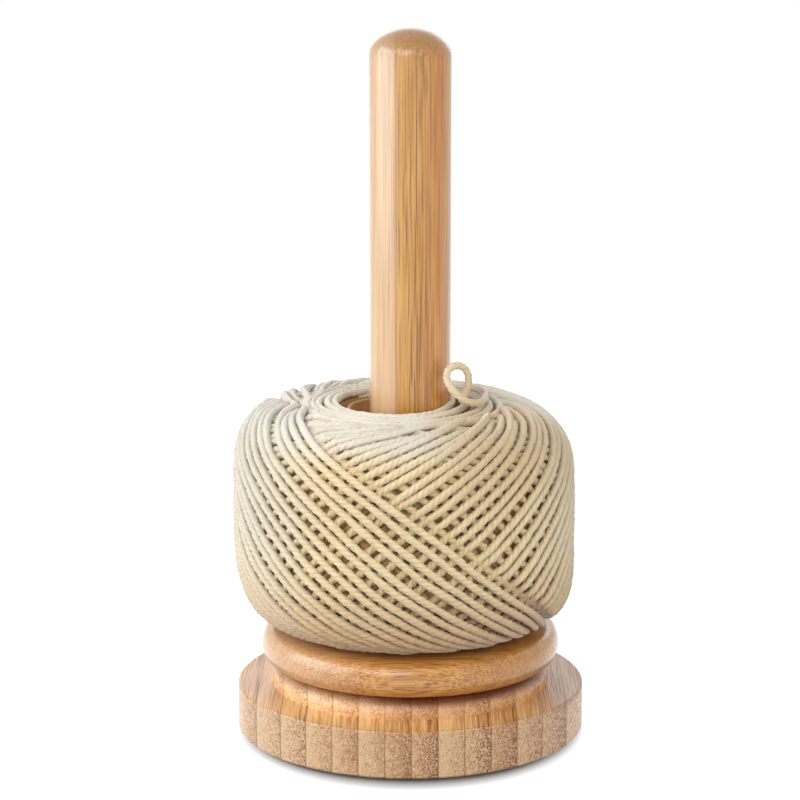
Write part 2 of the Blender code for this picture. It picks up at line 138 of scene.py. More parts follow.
# The outer turns, from the latest loop inwards. A run is half a loop, down the ball or up it
LOOPS = 53
LOOP_STEP = math.tau / LOOPS
LOOP_POINTS = 420
FIRST_APEX = math.radians(-167.0)
TOP_RADIUS = 27.5
FOOT_RADIUS = 29.0
SHARP_TURN_SHARE = 0.60
TIP_WIDTH = math.radians(7.0)
TIP_ROUNDING = math.radians(1.2)
SPREAD = math.radians(1.3)
SPREAD_WIDTH = math.radians(40.0)
SPREAD_PACE = 1.7
WINDING_PARTS = 4
SWAY = 0.26
SWAY_WAVE = (31.0, 3)
RISE = 0.10
RISE_WAVE = (17.0, 4)

# How far each run is moved aside, as shares of the step between loops: runs lie in loose pairs
PAIR_SHARE = 0.10
PAIR_FADE_SHARES = (0.55, 0.45)
PAIR_PACE = 0.31
PAIR_START = 0.6
JITTER_SHARE = 0.09
JITTER_SEED = 11
RUN_BLEND = math.radians(30.0)

# Layers: where a later run has come over an earlier one, and how deep the loops gather at the rims
LAYER_STEP = 1.45
CROSS_SHARES = (0.10, 0.80)
CHANGE_WIDTH = math.radians(8.0)
LEAVING_SHARE = 0.5
ARRIVING_SHARE = 0.25
RIM_LAYERS = 3
RIM_STEP = 1.35
RIM_WIDTH = math.radians(20.0)
RIM_FOOT_SHARE = 0.7
RIM_UNEVEN_SHARE = 0.15
RIM_PACE = 2.4
RIM_CHANGE = (math.pi, 1.6 * math.pi)
TUBE_GAP = 0.1
REST_GAP = 0.05

# The flat turns round the hole and under the ball
COLLAR_RADII = (29.5, 17.9)
COLLAR_SEED = 21
COLLAR_DEPTH = 1.1
COLLAR_ANGLES = (85.0, 20.0, 400)
BELOW_RADII = (30.5, 19.6)
BELOW_SEED = 22
BELOW_GAP = 0.25
FLAT_PITCH = 2.15
FLAT_TURN_POINTS = 240
FLAT_WANDER = 0.35
FLAT_WAVES = ((1.37, 1.0), (2.61, 0.7), (0.43, 0.6))
FLAT_RISE = 0.12
FLAT_RISE_PACE = 3.3
PULL = 4.6
PULL_LIFT = 0.5
PULL_MIDDLE = math.radians(-20.0)
PULL_WIDTH = math.radians(100.0)
PULL_TURNS = (2.6 * math.tau, 0.9 * math.tau)
TUCK_OUT = 2.6
TUCK_DOWN = 2.4
TUCK_START = 0.4
TUCK_END = 0.7

# The last turn under the free end
LEAD_POINTS = 14
LEAD_SPAN_POINTS = 8
LEAD_WAVE = 0.4
LEAD_PACE = 9.0
LEAD_LIFT = 0.3
LEAD_LEAN = 0.001

# The free end's small loop, from the rim to its tucked tip: across, back and up from the top of the collar
COLLAR_TOP = 64.4
TAIL_SPAN_POINTS = 12
TAIL_ROUTE = (
    (21.4, 3.6, 1.8),
    (21.2, -2.0, 1.8),
    (20.2, -7.0, 1.8),
    (18.0, -11.6, 2.2),
    (15.4, -13.6, 3.2),
    (12.6, -13.4, 5.4),
    (10.4, -12.4, 8.4),
    (10.3, -11.4, 11.0),
    (12.3, -10.6, 12.7),
    (15.0, -10.0, 12.0),
    (16.3, -9.6, 9.4),
    (16.0, -9.4, 6.4),
    (15.0, -9.3, 3.8),
    (14.6, -9.3, 1.9),
)

# The kinds of bamboo. The stains and the painted light and shade are along an axis and in a direction, and
# bamboo() says what else is here
WOODS = {
    "base_bamboo": SimpleNamespace(
        along=1, across=0, pitch=7.28, seam=0.33, seed=3.0, cell=0.56, run=30.0, mottling=3.0,
        sway=2.5, contrast_share=0.8, variety_share=1.0, gloss_share=0.3,
        colours=((218, 182, 142), (170, 122, 80), (94, 52, 22)),
        stains_and_painted_light=(),
    ),
    "turntable_bamboo": SimpleNamespace(
        along=0, across=1, pitch=7.28, seam=1.2, seed=21.0, cell=0.56, run=26.0, mottling=2.2,
        sway=2.5, contrast_share=0.7, variety_share=0.15, gloss_share=0.9,
        colours=((214, 158, 86), (166, 100, 38), (104, 48, 16)),
        stains_and_painted_light=(
            # Painted highlight: paler towards the left, where the light falls
            (0, -1.0, 8.0, 38.0, 0.3, (236, 204, 172)),
            # Painted shade: darker towards the right, away from the light
            (0, 1.0, 6.0, 34.0, 0.35, (158, 104, 48)),
        ),
    ),
    "post_bamboo": SimpleNamespace(
        along=2, across=0, pitch=15.0, seam=-4.0, seed=8.0, cell=0.38, run=60.0, mottling=1.6,
        sway=0.8, contrast_share=1.0, variety_share=0.6, gloss_share=1.0,
        colours=((210, 158, 84), (170, 108, 42), (104, 54, 18)),
        stains_and_painted_light=(
            # A paler strip on the left: partly a lamination, partly a painted highlight
            (0, -1.0, 3.6, 4.4, 0.4, (240, 212, 176)),
            (0, 1.0, 2.0, 8.0, 0.5, (204, 134, 58)),
            # Painted shade: darker at the top of the dome
            (2, 1.0, 191.0, 200.0, 0.65, (146, 102, 54)),
        ),
    ),
}

# All bamboo. A noise has a scale, a detail and a roughness, and a grain first has scales along three axes
GRAIN_SHIFT = 40.0
DRIFT_NOISE = (0.03, 2.0, 0.5)
GRAINS = {
    "mottle": ((1.9, 1.9, 0.045), (1.0, 2.0, 0.7)),
    "broad": ((0.5, 0.5, 0.02), (1.0, 2.0, 0.5)),
    "layer": ((3.2, 0.55, 0.03), (1.0, 3.0, 0.65)),
    "fine": ((5.5, 5.5, 0.05), (1.0, 3.0, 0.6)),
}
GRAIN_TONE_SHARES = {"broad": 1.0, "layer": 2.4, "fine": 0.8}
TONE_LEVEL_SHARE = 0.42
STRIP_TONE_SHARE = 0.6
SIDE_TONE_SHARE = 0.5
BUNDLE_REACH_SHARE = 0.38
BUNDLE_GROWTH_SHARE = 0.26
BUNDLE_CORE_SHARE = 0.4
BUNDLE_SIDE_SHARE = 0.6
BUNDLE_STRIP_SHARE = 0.5
SECOND_RANDOM = 7.3
SEAM_PLACE_SHARES = (0.468, 0.492)
SEAM_SHARE = 0.65
SEAM_COLOUR = (112, 66, 34)
WOOD_FINE_HEIGHT = 0.5
WOOD_PIT_HEIGHT = 0.8
WOOD_ROUGHNESS = (0.34, 0.18)
SPOT_ROUGHNESS = 0.10
WOOD_BUMP = (0.08, 0.9)
VARNISH_ROUGHNESS = 0.20

# The base's stain, painted light and painted shade: where each part starts and is full, and its share. Tints
# multiply the wood's own colour
BOSS_EDGE = (39.8, 40.6)
RING_EDGE = (48.6, 49.0)
# Painted light: the front of the flat ring is brighter and more orange
RING_HEIGHT = (13.0, 13.2)
RING_FRONT = (12.0, 36.0)
RING_PAINTED_LIGHT = (1.42, 1.40, 1.10, 1.0)
# Painted shade at the right end of the flat ring
RING_END_HEIGHT = (12.9, 13.2)
RING_END = (34.0, 44.0, 0.6)
RING_END_PAINTED_SHADE = (134, 94, 76)
BOSS_STAINS = ((2, 1.0, 13.4, 15.5, 0.3, (222, 150, 78)),)
# A painted highlight on the left of the boss
BOSS_LEFT = (-4.0, 20.0)
BOSS_SHARE = 0.8
BOSS_PAINTED_HIGHLIGHT = (1.35, 1.5, 1.55, 1.0)
# Painted shade under the turntable, lighter on the left
TURNTABLE_SHADE_HEIGHT = (16.8, 19.2)
TURNTABLE_SHADE_SHARE = 0.85
TURNTABLE_SHADE_LEFT_SHARE = 0.3
TURNTABLE_SHADE_COLOUR = (88, 32, 12)

# The twine's look, with the middle and weight of its fibres, slubs, valleys and depth in its tone. The
# valleys and depth darken it as painted shade between the plies and on turns under others
FIBRE_SCALES = (2.6, 2.6, 0.35)
FIBRE_NOISE = (1.4, 3.0, 0.65)
SLUB_SCALES = (1.0, 1.0, 0.05)
SLUB_NOISE = (0.9, 2.0, 0.5)
TWINE_TONE_SHARES = ((0.42, 1.1), (0.5, 0.5), (0.0, 0.30), (0.0, 0.38))
TWINE_CREAM = (250, 229, 183)
TWINE_DEEP = (209, 175, 120)
VALLEY_HEIGHT = 0.5
TWINE_ROUGHNESS = (0.75, 0.15)
TWINE_BUMP = (0.2, 0.9)
TWINE_SHEEN = {"Sheen Weight": 0.8, "Sheen Roughness": 0.45, "Specular IOR Level": 0.25}

# Where the twine is darker in the shade and paler in the light, with the ends of each fade and its share
LOW_HEIGHT = (33.0, 60.0)
LOW_SHARE = 0.6
LOW_COLOUR = (196, 142, 88)
GAP_DEPTH = (0.1, 0.7, 0.8)
GAP_COLOUR = (104, 60, 28)
PALE_LEFT = (20.0, 46.0, 0.75)
PALE_RIGHT = (30.0, 47.0, 0.4)
PALE_HEIGHT = (40.0, 72.0, 0.6)
PALE_COLOUR = (226, 223, 211)
TOP_HEIGHT = (86.0, 93.5, 0.85)
TOP_TONE_SHARE = 0.6
TOP_WARM_SHARE = 0.85
TOP_COLOUR = (244, 240, 228)
WARM_FRONT = (-4.0, 14.0)
WARM_RIGHT = (0.0, 20.0)
WARM_HEIGHT = (66.0, 90.0, 0.45)
WARM_COLOUR = (206, 172, 122)

# The inner layers' look: two crossing sets of ribs, in patches. Their dark colours are painted shade
RIB_RADIUS = 44.0
RIB_SLANT = 0.9
RIB_PACE = 1.05
RIB_SHADE_COLOURS = ((138, 106, 60), (190, 156, 106))
PATCH_NOISE = (0.12, 1.0, 0.5)
PATCH_SHARES = (0.42, 0.58)
FUZZ_NOISE = (2.5, 3.0, 0.6)
FUZZ_HEIGHT = 0.3
FUZZ_ROUGHNESS = (0.78, 0.15)
RIB_BUMP = (0.8, 0.9)

# The tube's board
PULP_NOISE = (1.1, 4.0, 0.65)
PULP_COLOURS = ((222, 176, 128), (172, 124, 82))
PULP_ROUGHNESS = (0.72, 0.2)
FLECK_SCALES = (1.0, 1.0, 0.3)
FLECK_NOISE = (2.6, 2.0, 0.5)
FLECK_SHARES = (0.58, 0.72)
FLECK_COLOUR = (216, 172, 126)
JOINT_CLIMB = 34.0
JOINT_SHARES = (0.485, 0.5)
JOINT_DARK_SHARE = 0.5
JOINT_COLOUR = (84, 52, 30)
BOARD_BUMP = (0.08, 0.6)

# Metals: colour, roughness, how close the marks are round the axis, and how rough they are
METALS = {
    "bearing_steel": ((0.62, 0.62, 0.64), 0.18, 3.0, 0.12),
    "zinc_steel": ((0.60, 0.60, 0.61), 0.30, 12.0, 0.2),
    "ball_steel": ((0.70, 0.70, 0.72), 0.05, 6.0, 0.06),
    "insert_brass": ((0.74, 0.53, 0.24), 0.28, 4.0, 0.15),
}
MARK_SCALE = 9.0
MARK_NOISE = (1.0, 2.0, 0.6)
TARNISH_NOISE = (0.4, 2.0, 0.5)
TARNISH_SHARES = (0.35, 0.75)
TARNISH_SHARE = 0.72
METAL_BUMP = (0.01, 0.5)

# Moulded pieces: colour, roughness and how fine their grain is
MOULDINGS = {
    "foot_rubber": ((0.035, 0.035, 0.036), 0.65, 3.0),
    "cage_plastic": ((0.74, 0.71, 0.60), 0.40, 2.0),
}
SPECK_DETAIL = (3.0, 0.6)
SPECK_ROUGHNESS = 0.2
CLOUD_NOISE = (0.5, 2.0, 0.5)
CLOUD_SHARE = 0.7
MOULDED_BUMP = (0.03, 0.5)

# The solids by what they are made of, and how their sides are smoothed
FEET = 4
BEARING_BALLS = 7
SOLIDS = {
    "base_bamboo": ["base"],
    "turntable_bamboo": ["turntable"],
    "post_bamboo": ["post"],
    "bearing_steel": ["bearing_outer_race", "bearing_inner_race"],
    "zinc_steel": [
        "bearing_shield_lower", "bearing_shield_upper",
        "spindle_washer", "spacer_ring", "spindle_bolt", "spindle_nut",
    ],
    "insert_brass": ["threaded_insert"],
    "cage_plastic": ["bearing_cage"],
    "foot_rubber": [f"rubber_foot_{number + 1}" for number in range(FEET)],
    "ball_steel": [f"bearing_ball_{number + 1}" for number in range(BEARING_BALLS)],
}
SMOOTHING = (
    "NodeGroupInput",
    "GeometryNodeRemoveAttribute",
    "GeometryNodeMergeByDistance",
    "GeometryNodeSetShadeSmooth",
    "GeometryNodeSetShadeSmooth",
    "NodeGroupOutput",
)
JOINED_WITHIN = 0.001
SHARP_ANGLE = math.radians(32.0)


# Node trees of materials and of the world


def srgb(colour):
    """A node's linear colour from a screen colour."""
    return tuple((value / SCREEN_WHITE) ** SCREEN_POWER for value in colour) + (1.0,)


class Tree:
    """Short calls for the nodes of a material or world. A value is a number, a tuple or a node's socket."""

    def __init__(self, owner, output="OutputMaterial"):
        owner.use_nodes = True
        self.owner = owner
        self.nodes = owner.node_tree.nodes
        self.links = owner.node_tree.links
        self.nodes.clear()
        self.out = self.add(output)

    def put(self, socket, value):
        """Link another node's socket to an input, or set its value."""
        if isinstance(value, bpy.types.NodeSocket):
            self.links.new(value, socket)
        else:
            socket.default_value = value

    def add(self, kind, inputs=(), **settings):
        """A new node with its settings and its inputs, which are named or numbered."""
        node = self.nodes.new("ShaderNode" + kind)
        for name, value in settings.items():
            setattr(node, name, value)
        for key, value in dict(inputs).items():
            self.put(node.inputs[key], value)
        return node

    def finish(self, shader):
        """Send a shader to the output."""
        self.links.new(shader.outputs[0], self.out.inputs[0])
        return self.owner

    def math(self, operation, *values, clamp=False):
        """The result of a Math node."""
        return self.add("Math", enumerate(values), operation=operation, use_clamp=clamp).outputs[0]

    def plus(self, *values):
        """The sum of any number of values."""
        return reduce(lambda total, value: self.math("ADD", total, value), values)

    def times(self, *values):
        """The product of any number of values."""
        return reduce(lambda total, value: self.math("MULTIPLY", total, value), values)

    def minus(self, first, second):
        return self.math("SUBTRACT", first, second)

    def line(self, value, level, slope):
        """A level plus a value times its slope."""
        return self.plus(self.times(value, slope), level)

    def tone(self, level, parts):
        """A level plus each value's distance from its middle times its weight, kept from 0 to 1."""
        total = level
        for value, middle, weight in parts:
            total = self.plus(self.times(self.minus(value, middle), weight), total)
        return self.math("ADD", total, 0.0, clamp=True)

    def smooth(self, value, low, high):
        """0 below the low end, 1 above the high end and an even change between them."""
        inputs = {"Value": value, "From Min": low, "From Max": high}
        return self.add("MapRange", inputs, interpolation_type="SMOOTHSTEP").outputs["Result"]

    def fade(self, value, low, high, share):
        """An even change from 0 to a share."""
        return self.times(self.smooth(value, low, high), share)

    def mix(self, factor, first, second, blend="MIX"):
        """Two colours mixed by a factor."""
        node = self.add("Mix", {"Factor": factor}, data_type="RGBA", blend_type=blend)
        colours = [socket for socket in node.inputs if socket.type == "RGBA"]
        self.put(colours[0], first)
        self.put(colours[1], second)
        return [socket for socket in node.outputs if socket.type == "RGBA"][0]

    def scaled(self, axes, scales):
        """A vector of three sockets, each times its scale."""
        return self.add("CombineXYZ", enumerate(map(self.times, axes, scales))).outputs[0]

    def millimetres(self):
        """The rest place of a point, in millimetres, as three sockets and as a vector."""
        place = self.add("TexCoord").outputs["Object"]
        scaled = self.add("VectorMath", {0: place, "Scale": 1.0 / MM}, operation="SCALE").outputs[0]
        return list(self.add("SeparateXYZ", {0: scaled}).outputs), scaled

    def radius(self, axes):
        """The distance from the upright axis."""
        return self.math("SQRT", self.plus(*(self.math("POWER", axis, 2.0) for axis in axes[:2])))

    def turn(self, axes):
        """The angle round the upright axis."""
        return self.math("ARCTAN2", axes[1], axes[0])

    def noise(self, vector, scale, detail, roughness):
        """A noise from 0 to 1."""
        inputs = {"Vector": vector, "Scale": scale, "Detail": detail, "Roughness": roughness}
        return self.add("TexNoise", inputs).outputs["Fac"]

    def attribute(self, name):
        """A number that the mesh holds for each of its points."""
        return self.add("Attribute", attribute_name=name, attribute_type="GEOMETRY").outputs["Fac"]

    def principled(self, colour, roughness, height, bump, **others):
        """The finished material, with its bump's distance and strength."""
        bump_inputs = {"Height": height, "Distance": bump[0] * MM, "Strength": bump[1]}
        normal = self.add("Bump", bump_inputs).outputs[0]
        inputs = {"Base Color": colour, "Roughness": roughness, "Normal": normal, **others}
        return self.finish(self.add("BsdfPrincipled", inputs))

    def seen_directly(self):
        """1 where a ray comes straight from the camera, or by way of a reflection or clear material."""
        rays = self.add("LightPath").outputs
        indirect = self.math("MAXIMUM", rays["Is Glossy Ray"], rays["Is Transmission Ray"])
        return self.math("MAXIMUM", rays["Is Camera Ray"], indirect)


def material_tree(name):
    """An empty tree for a new material."""
    return Tree(bpy.data.materials.new(name))


# Materials


def grain_axes(tree, axes, place, random, wood):
    """Places beside, through and along the grain, which sways a little and starts anew in each strip."""
    through = ({0, 1, 2} - {wood.along, wood.across}).pop()
    shift = tree.times(random, GRAIN_SHIFT)
    drift = tree.times(tree.minus(tree.noise(place, *DRIFT_NOISE), 0.5), wood.sway)
    beside = tree.plus(axes[wood.across], drift, shift)
    depth = tree.plus(tree.minus(axes[through], drift), shift)
    return beside, depth, tree.plus(axes[wood.along], shift)


def bundle_spots(tree, grain, inside, wood):
    """1 in a bundle of dark fibres. Bundles get thicker towards one side of their strip."""
    scales = (1.0 / wood.cell, 1.0 / wood.cell, 1.0 / wood.run)
    inputs = {"Vector": tree.scaled(grain, scales), "Scale": 1.0}
    distance = tree.add("TexVoronoi", inputs, voronoi_dimensions="3D").outputs["Distance"]
    reach = tree.line(inside, BUNDLE_REACH_SHARE, BUNDLE_GROWTH_SHARE * wood.variety_share)
    return tree.minus(1.0, tree.smooth(distance, tree.times(reach, BUNDLE_CORE_SHARE), reach))


def bundle_weight(tree, random, inside, wood):
    """How much of the bundles' colour shows, by the side of a strip and from strip to strip."""
    variety = wood.variety_share
    side = tree.line(inside, 1.0 - BUNDLE_SIDE_SHARE * variety, BUNDLE_SIDE_SHARE * variety)
    second = tree.math("FRACT", tree.times(random, SECOND_RANDOM))
    strength = tree.line(second, 1.0 - BUNDLE_STRIP_SHARE * variety, variety)
    return tree.times(side, wood.contrast_share, strength)


def with_stains_and_painted_light(tree, body, axes, stains_and_painted_light):
    """The wood's colour, going over to others along its axes, for stains and for painted light and shade."""
    for axis, direction, start, full, share, colour in stains_and_painted_light:
        weight = tree.fade(tree.times(axes[axis], direction), start, full, share)
        body = tree.mix(weight, body, srgb(colour))
    return body


def base_stain_and_painted_light(tree, body, axes):
    """The base's colour: painted light, warm and bright, on the front of the flat ring; a warm stain and a
    painted highlight on the boss; painted shade at the ring's right end and under the turntable, lighter on
    the left.
    """
    radius = tree.radius(axes)
    outside = tree.smooth(radius, *BOSS_EDGE)
    flat = tree.minus(outside, tree.smooth(radius, *RING_EDGE))
    # Painted light on the front of the flat ring
    front = tree.smooth(tree.times(axes[1], -1.0), *RING_FRONT)
    ring = tree.times(tree.smooth(axes[2], *RING_HEIGHT), flat, front)
    body = tree.mix(ring, body, RING_PAINTED_LIGHT, "MULTIPLY")
    # Painted shade at the flat ring's right end
    end = tree.times(tree.smooth(axes[2], *RING_END_HEIGHT), tree.fade(axes[0], *RING_END))
    body = tree.mix(end, body, srgb(RING_END_PAINTED_SHADE))
    body = with_stains_and_painted_light(tree, body, axes, BOSS_STAINS)
    # A painted highlight on the boss's left
    left = tree.smooth(tree.times(axes[0], -1.0), *BOSS_LEFT)
    boss_highlight = tree.times(tree.minus(1.0, outside), left, BOSS_SHARE)
    body = tree.mix(boss_highlight, body, BOSS_PAINTED_HIGHLIGHT, "MULTIPLY")
    # Painted shade under the turntable, lighter on the left
    under_turntable = tree.smooth(axes[2], *TURNTABLE_SHADE_HEIGHT)
    shade = tree.line(left, TURNTABLE_SHADE_SHARE, -TURNTABLE_SHADE_LEFT_SHARE)
    return tree.mix(tree.times(under_turntable, shade), body, srgb(TURNTABLE_SHADE_COLOUR))


def bamboo(name, finish=None):
    """Laminated bamboo. Bundles of fibre run along one axis: lines on its long faces and dots on its ends.

    A wood has the axes along and across its strips, their pitch, a seam's place and a seed, the spacing
    (cell) and length (run) of its bundles, the mottling and how far the grain sways; shares for the bundles'
    contrast, how much strips differ and the varnish; and a strip's pale, deep and bundle colours.
    """
    wood = WOODS[name]
    pale, deep, bundle_colour = map(srgb, wood.colours)
    tree = material_tree(name)
    axes, place = tree.millimetres()
    strip = tree.times(tree.minus(axes[wood.across], wood.seam), 1.0 / wood.pitch)
    inside = tree.math("FRACT", strip)
    number = tree.plus(tree.math("FLOOR", strip), wood.seed)
    random = tree.add("TexWhiteNoise", {"W": number}, noise_dimensions="1D").outputs["Value"]
    grain = grain_axes(tree, axes, place, random, wood)
    grains = {}
    for kind, (scales, noise) in GRAINS.items():
        grains[kind] = tree.noise(tree.scaled(grain, scales), *noise)
    spot = bundle_spots(tree, grain, inside, wood)
    seam = tree.smooth(tree.math("ABSOLUTE", tree.minus(inside, 0.5)), *SEAM_PLACE_SHARES)

    weights = {**GRAIN_TONE_SHARES, "mottle": wood.mottling}
    parts = [(grains[kind], 0.5, weight) for kind, weight in weights.items()]
    parts.append((random, 0.5, STRIP_TONE_SHARE * wood.variety_share))
    parts.append((inside, 0.5, SIDE_TONE_SHARE * wood.variety_share))
    body = tree.mix(tree.tone(TONE_LEVEL_SHARE, parts), pale, deep)
    body = tree.mix(tree.times(spot, bundle_weight(tree, random, inside, wood)), body, bundle_colour)
    body = tree.mix(tree.times(seam, SEAM_SHARE * wood.variety_share), body, srgb(SEAM_COLOUR))
    body = with_stains_and_painted_light(tree, body, axes, wood.stains_and_painted_light)
    # For the base, a stain with painted light and painted shade
    if finish:
        body = finish(tree, body, axes)

    pits = tree.times(tree.plus(spot, seam), WOOD_PIT_HEIGHT)
    height = tree.minus(tree.times(grains["fine"], WOOD_FINE_HEIGHT), pits)
    roughness = tree.plus(tree.line(grains["fine"], *WOOD_ROUGHNESS), tree.times(spot, SPOT_ROUGHNESS))
    varnish = {"Coat Weight": wood.gloss_share, "Coat Roughness": VARNISH_ROUGHNESS}
    return tree.principled(body, roughness, height, WOOD_BUMP, **varnish)


def twine_places(tree, colour, tone, depth):
    """The twine's colour, changed where the ball is in the shade and where light falls on it."""
    axes, _ = tree.millimetres()
    leftward, forward = (tree.times(axis, -1.0) for axis in axes[:2])
    low = tree.minus(1.0, tree.smooth(axes[2], *LOW_HEIGHT))
    colour = tree.mix(tree.times(low, LOW_SHARE), colour, srgb(LOW_COLOUR))
    colour = tree.mix(tree.times(low, tree.fade(depth, *GAP_DEPTH)), colour, srgb(GAP_COLOUR))

    sides = tree.math("MAXIMUM", tree.fade(leftward, *PALE_LEFT), tree.fade(axes[0], *PALE_RIGHT))
    upper = tree.plus(tree.fade(axes[2], *PALE_HEIGHT), 1.0 - PALE_HEIGHT[2])
    colour = tree.mix(tree.times(sides, upper), colour, srgb(PALE_COLOUR))

    warm = tree.times(tree.smooth(axes[0], *WARM_RIGHT), tree.smooth(forward, *WARM_FRONT))
    kept = tree.times(tree.line(tone, 1.0, -TOP_TONE_SHARE), tree.line(warm, 1.0, -TOP_WARM_SHARE))
    colour = tree.mix(tree.times(tree.fade(axes[2], *TOP_HEIGHT), kept), colour, srgb(TOP_COLOUR))
    return tree.mix(tree.times(warm, tree.fade(axes[2], *WARM_HEIGHT)), colour, srgb(WARM_COLOUR))


def twine():
    """Soft plied cotton. The strand map holds the length along the twine and the turn round it."""
    tree = material_tree("winding_twine")
    along, turn, _ = tree.add("SeparateXYZ", {0: tree.add("UVMap", uv_map="strand").outputs[0]}).outputs
    angle = tree.times(turn, math.tau)
    strand = (tree.math("COSINE", angle), tree.math("SINE", angle), tree.times(along, 1.0 / MM))
    fibres = tree.noise(tree.scaled(strand, FIBRE_SCALES), *FIBRE_NOISE)
    slubs = tree.noise(tree.scaled(strand, SLUB_SCALES), *SLUB_NOISE)
    valley = tree.attribute("valley")
    depth = tree.attribute("depth")
    values = (fibres, slubs, valley, depth)
    # Painted shade: the tone is darker in the valleys between the plies and on turns that lie under others
    tone = tree.tone(0.0, [(value, *shares) for value, shares in zip(values, TWINE_TONE_SHARES)])
    colour = tree.mix(tone, srgb(TWINE_CREAM), srgb(TWINE_DEEP))
    return tree.principled(
        twine_places(tree, colour, tone, depth),
        tree.line(fibres, *TWINE_ROUGHNESS),
        tree.minus(fibres, tree.times(valley, VALLEY_HEIGHT)),
        TWINE_BUMP,
        **TWINE_SHEEN,
    )


def inner_layers_look():
    """Packed turns in the shade: two crossing sets of ribs in dark colours, which are painted shade."""
    tree = material_tree("core_twine")
    axes, place = tree.millimetres()
    around = tree.times(tree.turn(axes), RIB_RADIUS)
    ribs = []
    for slant in (RIB_SLANT, -RIB_SLANT):
        line = tree.line(axes[2], around, slant)
        ribs.append(tree.math("ABSOLUTE", tree.math("SINE", tree.times(line, RIB_PACE))))
    patch = tree.smooth(tree.noise(place, *PATCH_NOISE), *PATCH_SHARES)
    rib = tree.plus(tree.times(ribs[0], patch), tree.times(ribs[1], tree.minus(1.0, patch)))
    fuzz = tree.noise(place, *FUZZ_NOISE)
    # Painted shade: the ribs' colours are dark, darkest between the ribs
    colour = tree.mix(rib, *map(srgb, RIB_SHADE_COLOURS))
    height = tree.line(fuzz, rib, FUZZ_HEIGHT)
    return tree.principled(colour, tree.line(fuzz, *FUZZ_ROUGHNESS), height, RIB_BUMP)


def cardboard():
    """Brown tube board: pressed fibres, and the slanting joint of its wound strips."""
    tree = material_tree("tube_cardboard")
    axes, place = tree.millimetres()
    pulp = tree.noise(place, *PULP_NOISE)
    flecks = tree.noise(tree.scaled(axes, FLECK_SCALES), *FLECK_NOISE)
    climb = tree.plus(tree.times(axes[2], 1.0 / JOINT_CLIMB), tree.times(tree.turn(axes), 1.0 / math.tau))
    joint = tree.smooth(tree.math("ABSOLUTE", tree.minus(tree.math("FRACT", climb), 0.5)), *JOINT_SHARES)
    colour = tree.mix(pulp, *map(srgb, PULP_COLOURS))
    colour = tree.mix(tree.smooth(flecks, *FLECK_SHARES), colour, srgb(FLECK_COLOUR))
    colour = tree.mix(tree.times(joint, JOINT_DARK_SHARE), colour, srgb(JOINT_COLOUR))
    return tree.principled(colour, tree.line(pulp, *PULP_ROUGHNESS), tree.minus(pulp, joint), BOARD_BUMP)


def shades(colour, share):
    """A linear colour and a darker one."""
    return (*colour, 1.0), (*(value * share for value in colour), 1.0)


def metal(name, colour, roughness, pace, scratches):
    """Turned or rolled metal with fine marks, stretched round the axis or along it."""
    tree = material_tree(name)
    axes, place = tree.millimetres()
    marks_axes = (tree.radius(axes), tree.turn(axes), axes[2])
    marks = tree.noise(tree.scaled(marks_axes, (MARK_SCALE, pace, MARK_SCALE)), *MARK_NOISE)
    tarnish = tree.smooth(tree.noise(place, *TARNISH_NOISE), *TARNISH_SHARES)
    colour = tree.mix(tarnish, *shades(colour, TARNISH_SHARE))
    return tree.principled(colour, tree.line(marks, roughness, scratches), marks, METAL_BUMP, Metallic=1.0)


def moulded(name, colour, roughness, scale):
    """Moulded rubber or plastic with a fine, even grain."""
    tree = material_tree(name)
    _, place = tree.millimetres()
    speck = tree.noise(place, scale, *SPECK_DETAIL)
    colour = tree.mix(tree.noise(place, *CLOUD_NOISE), *shades(colour, CLOUD_SHARE))
    return tree.principled(colour, tree.line(speck, roughness, SPECK_ROUGHNESS), speck, MOULDED_BUMP)


# The solids


def smooth_group():
    """Modifier nodes that join a solid's corners and shade it smooth, apart from its sharp edges."""
    group = bpy.data.node_groups.new("smooth_sides", "GeometryNodeTree")
    for direction in ("INPUT", "OUTPUT"):
        group.interface.new_socket("Geometry", in_out=direction, socket_type="NodeSocketGeometry")
    chain = [group.nodes.new(kind) for kind in SMOOTHING]
    for before, after in zip(chain, chain[1:]):
        group.links.new(before.outputs[0], after.inputs[0])
    _, drop, merge, faces, edges, _ = chain
    drop.inputs["Name"].default_value = "custom_normal"
    merge.inputs["Distance"].default_value = JOINED_WITHIN * MM
    faces.inputs["Shade Smooth"].default_value = True
    edges.domain = "EDGE"
    edges.inputs["Shade Smooth"].default_value = False
    angle = group.nodes.new("GeometryNodeInputMeshEdgeAngle")
    sharp = group.nodes.new("FunctionNodeCompare")
    sharp.data_type = "FLOAT"
    sharp.operation = "GREATER_THAN"
    sharp.inputs["B"].default_value = SHARP_ANGLE
    group.links.new(angle.outputs["Unsigned Angle"], sharp.inputs["A"])
    group.links.new(sharp.outputs[0], edges.inputs["Selection"])
    return group


def dress_solids():
    """Give every solid its material and smooth sides."""
    materials = {name: bamboo(name) for name in ("turntable_bamboo", "post_bamboo")}
    materials["base_bamboo"] = bamboo("base_bamboo", base_stain_and_painted_light)
    materials.update({name: metal(name, *look) for name, look in METALS.items()})
    materials.update({name: moulded(name, *look) for name, look in MOULDINGS.items()})
    group = smooth_group()
    for look, names in SOLIDS.items():
        for name in names:
            nodes[name].modifiers.new("smooth_sides", "NODES").node_group = group
            for slot in nodes[name].material_slots:
                slot.material = materials[look]


# Shapes and paths


def smoothstep(value, low, high):
    """An even change from 0 at the low end to 1 at the high end."""
    share = np.clip((value - low) / (high - low), 0.0, 1.0)
    return share * share * (3.0 - 2.0 * share)


def hump(value, width):
    """1 at zero, falling away on both sides."""
    return np.exp(-((value / width) ** 2))


def between(first, last, share):
    """A share of the way from the first value to the last."""
    return first + (last - first) * share


